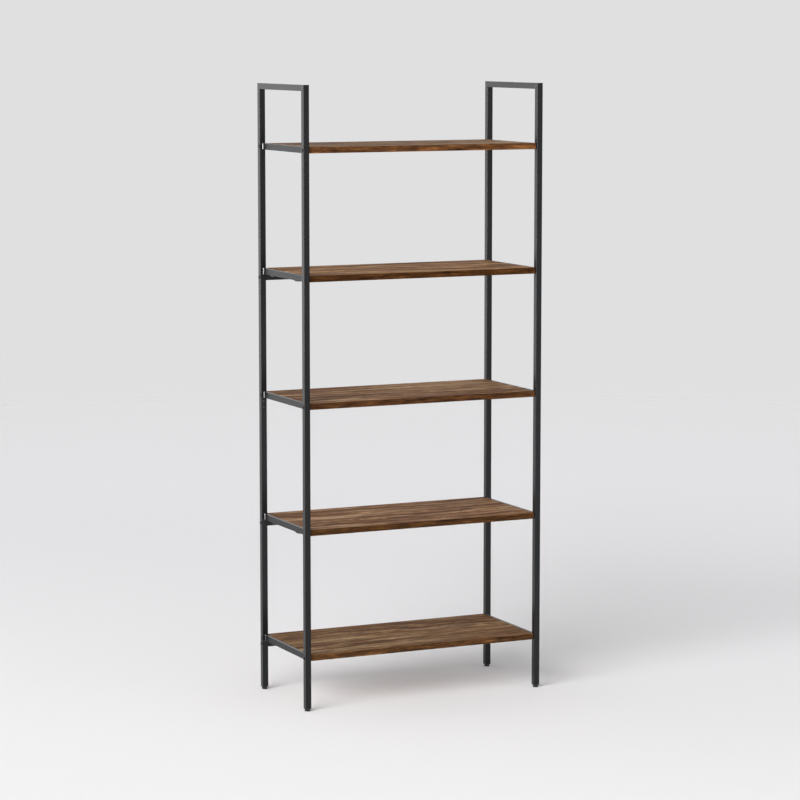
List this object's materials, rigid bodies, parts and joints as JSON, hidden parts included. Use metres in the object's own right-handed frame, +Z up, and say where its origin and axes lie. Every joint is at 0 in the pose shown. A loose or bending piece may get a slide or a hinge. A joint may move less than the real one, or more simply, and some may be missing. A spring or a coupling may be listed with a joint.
{
  "type": "ladder bookcase",
  "caption": "Tall open bookcase: slim square-tube side frames with ladder rungs carry wood-grain boards, with rear rails and levelling feet.",
  "frame": {"origin": "on the floor under the middle of the bookcase", "axes": "+X to the viewer's right along the boards, +Y from front to back, +Z up"},
  "size_m": [0.7794, 0.345, 1.829],
  "materials": {
    "powder_coat": "fine matt charcoal powder coat",
    "wood_board": "matt brown wood grain",
    "black_fastener": "satin black oxide",
    "zinc_steel": "bright zinc plate",
    "black_plastic": "matt black moulding",
    "foot_rubber": "matt black rubber"
  },
  "bodies": {
    "bookcase": {"foot_plug_left_back": "black_plastic", "foot_plug_left_front": "black_plastic", "foot_plug_right_back": "black_plastic", "foot_plug_right_front": "black_plastic", "lower_post_left_back": "powder_coat", "lower_post_left_front": "powder_coat", "lower_post_right_back": "powder_coat", "lower_post_right_front": "powder_coat", "post_coupler_left_back": "zinc_steel", "post_coupler_left_front": "zinc_steel", "post_coupler_right_back": "zinc_steel", "post_coupler_right_front": "zinc_steel", "rear_rail_1": "powder_coat", "rear_rail_2": "powder_coat", "rear_rail_4": "powder_coat", "rear_rail_bolts_1": "black_fastener", "rear_rail_bolts_2": "black_fastener", "rear_rail_bolts_4": "black_fastener", "rear_rail_plugs_1": "zinc_steel", "rear_rail_plugs_2": "zinc_steel", "rear_rail_plugs_4": "zinc_steel", "shelf_1": "wood_board", "shelf_2": "wood_board", "shelf_3": "wood_board", "shelf_4": "wood_board", "shelf_5": "wood_board", "shelf_bolts": "black_fastener", "shelf_sleeves": "zinc_steel", "shelf_tab_screws_2": "black_fastener", "shelf_tab_screws_4": "black_fastener", "shelf_tabs_2": "powder_coat", "shelf_tabs_4": "powder_coat", "side_rail_left_1": "powder_coat", "side_rail_left_2": "powder_coat", "side_rail_left_3": "powder_coat", "side_rail_left_4": "powder_coat", "side_rail_left_5": "powder_coat", "side_rail_right_1": "powder_coat", "side_rail_right_2": "powder_coat", "side_rail_right_3": "powder_coat", "side_rail_right_4": "powder_coat", "side_rail_right_5": "powder_coat", "splice_screws": "black_fastener", "top_bar_left": "powder_coat", "top_bar_right": "powder_coat", "upper_post_left_back": "powder_coat", "upper_post_left_front": "powder_coat", "upper_post_right_back": "powder_coat", "upper_post_right_front": "powder_coat"},
    "foot_stem_left_front": {"foot_stem_left_front": "black_fastener"},
    "foot_pad_left_front": {"foot_pad_left_front": "foot_rubber"},
    "foot_stem_left_back": {"foot_stem_left_back": "black_fastener"},
    "foot_pad_left_back": {"foot_pad_left_back": "foot_rubber"},
    "foot_stem_right_front": {"foot_stem_right_front": "black_fastener"},
    "foot_pad_right_front": {"foot_pad_right_front": "foot_rubber"},
    "foot_stem_right_back": {"foot_stem_right_back": "black_fastener"},
    "foot_pad_right_back": {"foot_pad_right_back": "foot_rubber"}
  },
  "joints": [
    {"name": "foot_turn_left_front", "type": "hinge", "parent": "bookcase", "child": "foot_stem_left_front", "pos_m": [-0.378, -0.1635, 0], "axis": [0, 0, -1], "range_deg": [0, 2880]},
    {"name": "foot_swivel_left_front", "type": "hinge", "parent": "foot_stem_left_front", "child": "foot_pad_left_front", "pos_m": [-0.378, -0.1635, 0], "axis": [0, 0, 1], "continuous": true},
    {"name": "foot_turn_left_back", "type": "hinge", "parent": "bookcase", "child": "foot_stem_left_back", "pos_m": [-0.378, 0.1635, 0], "axis": [0, 0, -1], "range_deg": [0, 2880]},
    {"name": "foot_swivel_left_back", "type": "hinge", "parent": "foot_stem_left_back", "child": "foot_pad_left_back", "pos_m": [-0.378, 0.1635, 0], "axis": [0, 0, 1], "continuous": true},
    {"name": "foot_turn_right_front", "type": "hinge", "parent": "bookcase", "child": "foot_stem_right_front", "pos_m": [0.378, -0.1635, 0], "axis": [0, 0, -1], "range_deg": [0, 2880]},
    {"name": "foot_swivel_right_front", "type": "hinge", "parent": "foot_stem_right_front", "child": "foot_pad_right_front", "pos_m": [0.378, -0.1635, 0], "axis": [0, 0, 1], "continuous": true},
    {"name": "foot_turn_right_back", "type": "hinge", "parent": "bookcase", "child": "foot_stem_right_back", "pos_m": [0.378, 0.1635, 0], "axis": [0, 0, -1], "range_deg": [0, 2880]},
    {"name": "foot_swivel_right_back", "type": "hinge", "parent": "foot_stem_right_back", "child": "foot_pad_right_back", "pos_m": [0.378, 0.1635, 0], "axis": [0, 0, 1], "continuous": true}
  ]
}
